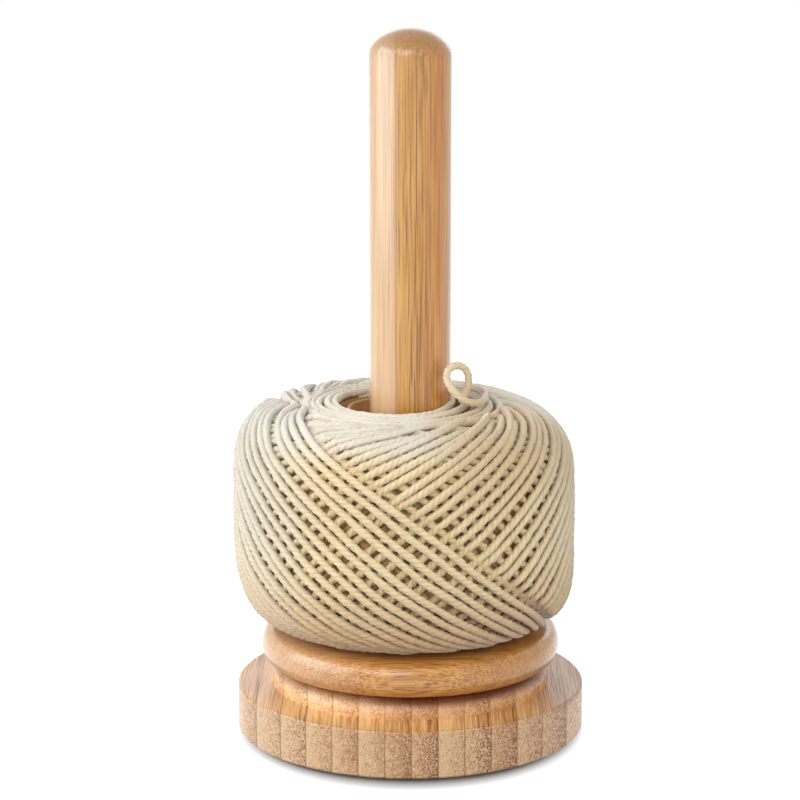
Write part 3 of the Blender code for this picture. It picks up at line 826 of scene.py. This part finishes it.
def unit(vectors):
    """Each row of an array, made 1 long."""
    return vectors / np.linalg.norm(vectors, axis=1)[:, None]


def spun(radius, turn, height):
    """Points from radius, angle round the post and height."""
    return np.stack([radius * np.cos(turn), radius * np.sin(turn), height], 1)


def upright(count):
    """An upward direction for each point."""
    return np.tile((0.0, 0.0, 1.0), (count, 1))


def wave(length, waves, seed):
    """A gentle seeded wander along a length, from -1 to 1."""
    draw = np.random.default_rng(seed)
    total = np.zeros_like(length)
    for share in WAVE_SHARES:
        total += np.sin(length * math.tau / (waves * share) + draw.uniform(0.0, math.tau))
    return total / len(WAVE_SHARES)


def evenly(points, *extras):
    """How far along a path its evenly spaced points are, those points, and what goes with each point."""
    lengths = np.concatenate([[0.0], np.cumsum(np.linalg.norm(np.diff(points, axis=0), axis=1))])
    at = np.linspace(0.0, lengths[-1], int(lengths[-1] / RING_STEP) + 1)
    picked = []
    for item in (points, *extras):
        picked.append(np.stack([np.interp(at, lengths, column) for column in item.T], 1))
    return at, *picked


def rounded(points, per_span):
    """A smooth curve through given points."""
    padded = np.concatenate([[2 * points[0] - points[1]], points, [2 * points[-1] - points[-2]]])
    share = (np.arange(per_span) / per_span)[:, None]
    spans = []
    for before, start, end, after in zip(padded, padded[1:], padded[2:], padded[3:]):
        first = (end - before) * share
        second = (2 * before - 5 * start + 4 * end - after) * share**2
        third = (3 * start - before - 3 * end + after) * share**3
        spans.append(start + (first + second + third) / 2)
    return np.concatenate([*spans, points[-1:]])


def carried_along(points):
    """An outward direction that is carried along a path without turning round it."""
    direction = np.array([0.0, 0.0, 1.0])
    carried = []
    for ahead in unit(np.gradient(points, axis=0)):
        direction = direction - ahead * float(direction @ ahead)
        direction = direction / np.linalg.norm(direction)
        carried.append(direction)
    return np.array(carried)


# The ball's shape


def outer_shape(angle):
    """Radius and height on the ball's outer shape, for angles from its widest place."""
    across, up = np.cos(angle), np.sin(angle)
    height = np.where(angle >= 0, WOUND_RISE, WOUND_DROP)
    power = np.where(angle >= 0, RISE_POWER, DROP_POWER)
    reach = (np.abs(across / WOUND_RADIUS) ** power + np.abs(up / height) ** power) ** (-1.0 / power)
    return reach * across, WOUND_MIDDLE + reach * up


def wound(angle, inset):
    """Radius and height at a depth inside the outer shape, and which way is out."""
    radius, height = outer_shape(angle)
    after = outer_shape(angle + NORMAL_STEP)
    before = outer_shape(angle - NORMAL_STEP)
    out_r = after[1] - before[1]
    out_z = before[0] - after[0]
    size = np.hypot(out_r, out_z)
    return radius - inset * out_r / size, height - inset * out_z / size, out_r / size, out_z / size


def angle_of_radius(wanted, side):
    """The angle at which the strand's middle has this radius, above or below the widest place."""
    angles = side * np.radians(np.linspace(*RIM_ANGLES))
    radius = wound(angles, TWINE_RADIUS)[0]
    return float(angles[np.argmin(np.abs(radius - wanted))])


def settle(points):
    """The ball pushed a little to one side and higher at the left and back. The hole stays in its place."""
    x, y, z = points.T
    height = z - BALL_Z
    radius = np.maximum(np.hypot(x, y), SMALLEST_RADIUS)
    rightward, backward = x / radius, y / radius
    left, right, front = (np.clip(side, 0.0, 1.0) for side in (-rightward, rightward, -backward))
    reach = np.clip(radius / LIFT_FULL, 0.0, 1.0)
    top = smoothstep(height, WOUND_MIDDLE, WOUND_MIDDLE + WOUND_RISE)
    low = 1.0 - smoothstep(height, *FOOT_HEIGHTS)

    lift = (BACK_LIFT * backward - LEFT_LIFT * rightward) * reach
    shoulder = SHOULDER_LIFT * hump(radius - SHOULDER_RADIUS, SHOULDER_WIDTH) * left
    up = top * (lift + shoulder) + FRONT_LIFT * low * front * reach
    slope = RIGHT_SLOPE * hump(height - SLOPE_HEIGHT, SLOPE_WIDTH) * right
    share = np.maximum(smoothstep(radius, *SHIFT_RADII), smoothstep(height, *SHIFT_HEIGHTS))
    return np.stack([x + (SHIFT + FOOT_SHIFT * low - slope) * share, y, z + up], 1)


# The outer turns


def run_offsets():
    """How far each run is moved aside, as a share of the step between loops."""
    draw = np.random.default_rng(JITTER_SEED)
    number = np.arange(2 * LOOPS + 2)
    pair = np.where((number // 2) % 2 == 0, PAIR_SHARE, -PAIR_SHARE)
    pair *= PAIR_FADE_SHARES[0] + PAIR_FADE_SHARES[1] * np.sin(number * PAIR_PACE + PAIR_START)
    return pair + draw.uniform(-JITTER_SHARE, JITTER_SHARE, len(number))


def stepped_back(lap, offsets):
    """How far round each point is stepped back, and its place in its run. Offsets blend at the rims."""
    run = np.floor(lap / math.pi).astype(int)
    in_run = lap - run * math.pi
    after = 0.5 * smoothstep(in_run, math.pi - RUN_BLEND, math.pi)
    before = 0.5 - 0.5 * smoothstep(in_run, 0.0, RUN_BLEND)
    aside = offsets[run] * (1.0 - after - before) + offsets[run + 1] * after
    aside += offsets[np.maximum(run - 1, 0)] * before
    return LOOP_STEP * (lap / math.tau + aside), in_run


def shape_angle(lap, from_top, from_foot):
    """Each point's angle on the ball's shape, between a tilted hoop's and a sharp zigzag's."""
    top, foot = angle_of_radius(TOP_RADIUS, 1), -angle_of_radius(FOOT_RADIUS, -1)
    hoop = (top - foot) / 2.0 + np.arctan(math.tan((top + foot) / 2.0) * np.cos(from_top))
    zigzag = top - (top + foot) * np.abs(from_top) / math.pi
    tips = TIP_ROUNDING * (hump(from_foot, TIP_WIDTH) - hump(from_top, TIP_WIDTH))
    spread = SPREAD * np.sin(lap / math.tau * SPREAD_PACE) * hump(from_top, SPREAD_WIDTH)
    return between(hoop, zigzag + tips, SHARP_TURN_SHARE) - spread


def depth_of_layer(in_run, phase):
    """1 for a point under another run and 0 for one on top. The later of two crossing runs is on top."""
    cross = phase / 2.0
    over = smoothstep(in_run, *(cross + share * LOOP_STEP for share in CROSS_SHARES))
    leaving = smoothstep(in_run, math.pi - CHANGE_WIDTH, math.pi)
    arriving = 1.0 - smoothstep(in_run, 0.0, CHANGE_WIDTH)
    return (1.0 - over * (1.0 - LEAVING_SHARE * leaving)) * (1.0 - ARRIVING_SHARE * arriving)


def rim_depth(loop, past, from_top, from_foot):
    """How many twines deep a loop lies where the loops gather at the rims."""
    levels = [item % RIM_LAYERS + RIM_UNEVEN_SHARE * np.sin(item * RIM_PACE) for item in (loop, loop + 1)]
    level = between(*levels, smoothstep(past, *RIM_CHANGE))
    return level * (hump(from_top, RIM_WIDTH) + RIM_FOOT_SHARE * hump(from_foot, RIM_WIDTH))


def winding_lap(lap, offsets):
    """Points, outward directions and depth of layer for laps counted from the first apex.

    The latest loop is number 0, and each older loop starts one step further back.
    """
    loop = np.floor(lap / math.tau)
    past = lap - loop * math.tau
    from_foot = past - math.pi
    from_top = np.where(past > math.pi, past - math.tau, past)
    phase, in_run = stepped_back(lap, offsets)
    under = depth_of_layer(in_run, phase)
    inset = TWINE_RADIUS + LAYER_STEP * under + RIM_STEP * rim_depth(loop, past, from_top, from_foot)
    radius, height, out_r, out_z = wound(shape_angle(lap, from_top, from_foot), inset)
    radius = np.maximum(radius, TUBE_OUTSIDE + TWINE_RADIUS + TUBE_GAP)
    height = np.maximum(height, inset + REST_GAP)
    turn = FIRST_APEX - phase + lap
    return settle(spun(radius, turn, BALL_Z + height)), spun(out_r, turn, out_z), under


def free_end_points():
    """The free end, from the rim over its small loop to the tucked tip."""
    return np.array([(x, y, BALL_Z + COLLAR_TOP + z) for x, y, z in TAIL_ROUTE])


def lead_points():
    """The last turn under the free end: from the rim back round behind the hole to the first apex."""
    start = free_end_points()[0]
    finish = winding_lap(np.array([0.0]), run_offsets())[0][0]
    share = np.linspace(0.0, 1.0, LEAD_POINTS)[1:-1]
    turn = between(math.atan2(start[1], start[0]), FIRST_APEX + math.tau, share)
    radius = between(math.hypot(*start[:2]), math.hypot(*finish[:2]), share)
    radius += LEAD_WAVE * np.sin(share * LEAD_PACE)
    height = between(start[2], finish[2], share) + LEAD_LIFT
    return np.concatenate([[start], spun(radius, turn, height)])


# Meshes


def strand_rings(points, outward, lengths, lobes):
    """The corners of a plied tube, a ring of them for each point of its path."""
    forward = unit(np.gradient(points, axis=0))
    side = unit(np.cross(forward, outward))
    up = np.cross(side, forward)
    slub = 1.0 + sum(share * wave(lengths, waves, seed) for share, waves, seed in SLUBS)
    uneven = np.random.default_rng(len(points)).normal(0.0, ROUGH_SHARE, (len(points), RING_POINTS))
    uneven = 1.0 + np.clip(uneven, -ROUGH_LIMIT_SHARE, ROUGH_LIMIT_SHARE)
    radius = (TWINE_RADIUS * slub[:, None] * lobes * uneven)[..., None]
    angle = lengths[:, None] / LAY_LENGTH * math.tau + np.arange(RING_POINTS) / RING_POINTS * math.tau
    across, upward = np.cos(angle)[..., None], np.sin(angle)[..., None]
    return points[:, None] + radius * (across * side[:, None] + upward * up[:, None])


def smooth_mesh(name, spots, faces):
    """A mesh with smooth faces, from points in millimetres."""
    mesh = bpy.data.meshes.new(name)
    mesh.from_pydata((spots * MM).tolist(), [], faces)
    mesh.shade_smooth()
    return mesh


def tube_faces(count):
    """The faces of a tube round rings of points, closed at both ends."""
    index = np.arange(count * RING_POINTS).reshape(-1, RING_POINTS)
    here, there = index[:-1], index[1:]
    sides = np.stack([here, np.roll(here, -1, 1), np.roll(there, -1, 1), there], -1)
    return sides.reshape(-1, 4).tolist() + [index[0][::-1].tolist(), index[-1].tolist()]


def strand_map(mesh, corners, lengths):
    """Map the length along a strand in metres and the turn round it, which is 1 where the ring closes."""
    along = np.repeat(lengths * MM, RING_POINTS)[corners]
    around = corners % RING_POINTS / RING_POINTS
    number = np.arange(len(corners))
    on_side = number < len(corners) - 2 * RING_POINTS
    far_corner = (number % 4 == 1) | (number % 4 == 2)
    around[on_side & far_corner & (around == 0.0)] = 1.0
    layer = mesh.uv_layers.new(name="strand")
    layer.data.foreach_set("uv", np.stack([along, around], 1).astype(np.float32).ravel())


def strand_mesh(name, points, outward, under, lengths):
    """A plied tube round a path in millimetres, with its strand map, its valleys and its depth of layer."""
    lobes = np.where(np.arange(RING_POINTS) % PLY_POINTS == 0, VALLEY_SHARE, 1.0)
    faces = tube_faces(len(points))
    mesh = smooth_mesh(name, strand_rings(points, outward, lengths, lobes).reshape(-1, 3), faces)
    strand_map(mesh, np.concatenate(faces), lengths)
    held = {"valley": np.tile(lobes < 1.0, len(points)), "depth": np.repeat(under, RING_POINTS)}
    for label, values in held.items():
        mesh.attributes.new(label, "FLOAT", "POINT").data.foreach_set("value", values.astype(np.float32))
    return mesh


def turned_mesh(name, outline, steps, move=None):
    """A closed body turned from an outline of radius and height. A move, if given, changes its points."""
    turns = np.arange(steps) / steps * math.tau
    spots = np.array([(r * math.cos(turn), r * math.sin(turn), z) for turn in turns for r, z in outline])
    if move:
        spots = move(spots)
    count = len(outline)
    faces = []
    for spoke in range(steps):
        here, there = spoke * count, (spoke + 1) % steps * count
        for number in range(count):
            after = (number + 1) % count
            faces.append((here + number, there + number, there + after, here + after))
    return smooth_mesh(name, spots, faces)


# Pieces of the ball


def add_piece(mesh, material, replaced="twine_winding"):
    """A new piece of the ball of twine, named as its mesh, in the place of one of the solids."""
    made = bpy.data.objects.new(mesh.name, mesh)
    scene.collection.objects.link(made)
    mesh.materials.append(material)
    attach(made, "twine_ball")
    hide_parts(replaced)
    return made


def make_winding(material):
    """The outer turns as one long path, cut into a few pieces."""
    lap = np.linspace(0.0, math.tau * LOOPS, LOOPS * LOOP_POINTS + 1)
    points, outward, under = winding_lap(lap, run_offsets())
    lead = rounded(lead_points(), LEAD_SPAN_POINTS)
    points = np.concatenate([lead, points])
    outward = np.concatenate([unit(upright(len(lead)) + LEAD_LEAN * lead), outward])
    under = np.concatenate([np.zeros(len(lead)), under])
    lengths, points, outward, under = evenly(points, outward, under[:, None])
    sideways = np.cross(unit(np.gradient(points, axis=0)), outward)
    points = points + sideways * SWAY * wave(lengths, *SWAY_WAVE)[:, None]
    points = points + outward * RISE * wave(lengths, *RISE_WAVE)[:, None]
    cuts = np.linspace(0, len(points) - 1, WINDING_PARTS + 1).astype(int)
    for number in range(WINDING_PARTS):
        part = slice(cuts[number], cuts[number + 1] + 1)
        stretch = (points[part], outward[part], under[part, 0], lengths[part])
        add_piece(strand_mesh(f"twine_turns_{number + 1}", *stretch), material)


def make_free_end(material):
    """The loose end of the twine, a small loop by the hole."""
    lengths, points = evenly(rounded(free_end_points(), TAIL_SPAN_POINTS))
    mesh = strand_mesh("twine_free_end", points, carried_along(points), np.zeros(len(points)), lengths)
    made = add_piece(mesh, material)


def top_height(radius):
    """Where a flat turn's middle lies on the ball's top, by its radius."""
    angles = np.radians(np.linspace(*COLLAR_ANGLES))
    reach, height, _, _ = wound(angles, TWINE_RADIUS + COLLAR_DEPTH)
    return np.interp(radius, reach, height)


def flat_turns(name, radii, seed, material, on_top):
    """A spiral of flat turns, each a little out of round. On top of the ball the last are pulled in."""
    turns = abs(radii[1] - radii[0]) / FLAT_PITCH
    turn = np.linspace(0.0, turns * math.tau, int(turns * FLAT_TURN_POINTS))
    starts = np.random.default_rng(seed).uniform(0.0, math.tau, len(FLAT_WAVES))
    wander = sum(size * np.sin(turn * pace + start) for (pace, size), start in zip(FLAT_WAVES, starts))
    radius = np.maximum(between(*radii, turn / turn[-1]) + FLAT_WANDER * wander, min(radii))
    height = top_height(radius) if on_top else TWINE_RADIUS + BELOW_GAP
    height = height + FLAT_RISE * np.sin(turn * FLAT_RISE_PACE + starts[1])

    tucked = smoothstep(turn, turn[-1] - TUCK_END, turn[-1]) + 1.0 - smoothstep(turn, 0.0, TUCK_START)
    radius = radius + TUCK_OUT * tucked
    if on_top:
        off = np.abs((turn - PULL_MIDDLE + math.pi) % math.tau - math.pi)
        late = smoothstep(turn, *(turn[-1] - before for before in PULL_TURNS))
        pulled = late * (1.0 - smoothstep(off, 0.0, PULL_WIDTH))
        radius = radius - PULL * pulled
        height = height + PULL_LIFT * pulled - TUCK_DOWN * tucked
    lengths, points = evenly(settle(spun(radius, turn, BALL_Z + height)))
    add_piece(strand_mesh(name, points, upright(len(points)), np.zeros(len(points)), lengths), material)


def make_flat_turns(material):
    """The collar round the hole and the turns that the ball rests on."""
    flat_turns("twine_collar_turns", COLLAR_RADII, COLLAR_SEED, material, True)
    flat_turns("twine_foot_turns", BELOW_RADII, BELOW_SEED, material, False)


def make_tube(material):
    """The core tube, with its rim up to the flat turns round the hole."""
    outline = (
        (TUBE_INSIDE, TUBE_TOP - TUBE_EDGE),
        (TUBE_INSIDE + TUBE_EDGE, TUBE_TOP),
        (TUBE_OUTSIDE - TUBE_EDGE, TUBE_TOP),
        (TUBE_OUTSIDE, TUBE_TOP - TUBE_EDGE),
        (TUBE_OUTSIDE, BALL_Z + TUBE_EDGE),
        (TUBE_OUTSIDE - TUBE_EDGE, BALL_Z),
        (TUBE_INSIDE + TUBE_EDGE, BALL_Z),
        (TUBE_INSIDE, BALL_Z + TUBE_EDGE),
    )
    mesh = turned_mesh("twine_tube_board", outline, TUBE_STEPS)
    made = add_piece(mesh, material, "twine_core_tube")
    made.modifiers.new("edges", "EDGE_SPLIT").split_angle = EDGE_ANGLE


def make_inner_layers(material):
    """The layers under the outer turns, as one turned body with a hole for the tube."""
    inside = TUBE_OUTSIDE + CORE_TUBE_GAP
    radius, height, _, _ = wound(np.radians(np.linspace(*CORE_ANGLES)), CORE_INSET)
    kept = (radius > inside + CORE_TUBE_STEP) & (height > CORE_FOOT)
    side = zip(radius[kept], BALL_Z + height[kept])
    outline = [(inside, BALL_Z + CORE_FOOT), *side, (inside, TUBE_TOP - CORE_RIM)]
    mesh = turned_mesh("twine_inner_layers", outline, CORE_STEPS, settle)
    add_piece(mesh, material, "twine_ball_core")


# Camera, light and floor


def make_camera():
    """The photograph's camera."""
    data = bpy.data.cameras.new("camera")
    data.sensor_width = CAMERA_SENSOR
    data.lens = CAMERA_LENS
    data.shift_x = CAMERA_SHIFT_SHARE
    data.clip_start, data.clip_end = (clip * MM for clip in CAMERA_CLIPS)
    camera = bpy.data.objects.new("camera", data)
    camera.location = Vector(CAMERA_PLACE) * MM
    camera.rotation_euler = (math.pi / 2.0 - CAMERA_PITCH, 0.0, 0.0)
    scene.collection.objects.link(camera)
    scene.camera = camera
    scene.view_settings.view_transform = "Standard"


def make_lights():
    """Four soft lamps that point at the object."""
    for name, place, size, watts, reflected in LIGHTS:
        data = bpy.data.lights.new(name, "AREA")
        data.shape = "RECTANGLE"
        data.size, data.size_y = (length * MM for length in size)
        data.energy = watts
        lamp = bpy.data.objects.new(name, data)
        lamp.location = Vector(place) * MM
        lamp.rotation_euler = (Vector(LIGHT_TARGET) - Vector(place)).to_track_quat("-Z", "Y").to_euler()
        lamp.visible_glossy = reflected
        scene.collection.objects.link(lamp)


def make_world():
    """Soft light from all round, and a plain white background where it is seen."""
    tree = Tree(bpy.data.worlds.new("studio"), "OutputWorld")
    strength = tree.line(tree.seen_directly(), WORLD_LIGHT_SHARE, 1.0 - WORLD_LIGHT_SHARE)
    scene.world = tree.finish(tree.add("Background", {"Color": WHITE, "Strength": strength}))


def make_floor():
    """A matt floor with a painted shadow round the base, where its glow is low and the real soft shadow
    shows, going over to the plain white background.
    """
    bpy.ops.mesh.primitive_grid_add(
        x_subdivisions=FLOOR_PARTS, y_subdivisions=FLOOR_PARTS, size=FLOOR_SIZE * MM
    )
    floor = bpy.context.object
    floor.name = "studio_floor"
    tree = material_tree("studio_floor")
    _, place = tree.millimetres()
    # Painted shadow: the glow is low near the base, in a round that is stretched and moved ahead
    inputs = {0: place, 1: PAINTED_SHADOW_STRETCH_SHARES, 2: PAINTED_SHADOW_AHEAD}
    shadow_spot = tree.add("VectorMath", inputs, operation="MULTIPLY_ADD").outputs[0]
    distance = tree.add("VectorMath", {0: shadow_spot}, operation="LENGTH").outputs["Value"]
    level = tree.line(tree.smooth(distance, *PAINTED_SHADOW_FADE), FLOOR_GLOW_SHARE, 1.0 - FLOOR_GLOW_SHARE)
    glow = tree.add("Emission", {"Strength": tree.times(level, tree.seen_directly())})
    matt = tree.add("BsdfDiffuse", {"Color": FLOOR_COLOUR})
    floor.data.materials.append(tree.finish(tree.add("AddShader", {0: matt.outputs[0], 1: glow.outputs[0]})))


make_camera()
make_world()
make_lights()
make_floor()
dress_solids()
winding_look = twine()
make_winding(winding_look)
make_free_end(winding_look)
make_tube(cardboard())
make_flat_turns(winding_look)
make_inner_layers(inner_layers_look())
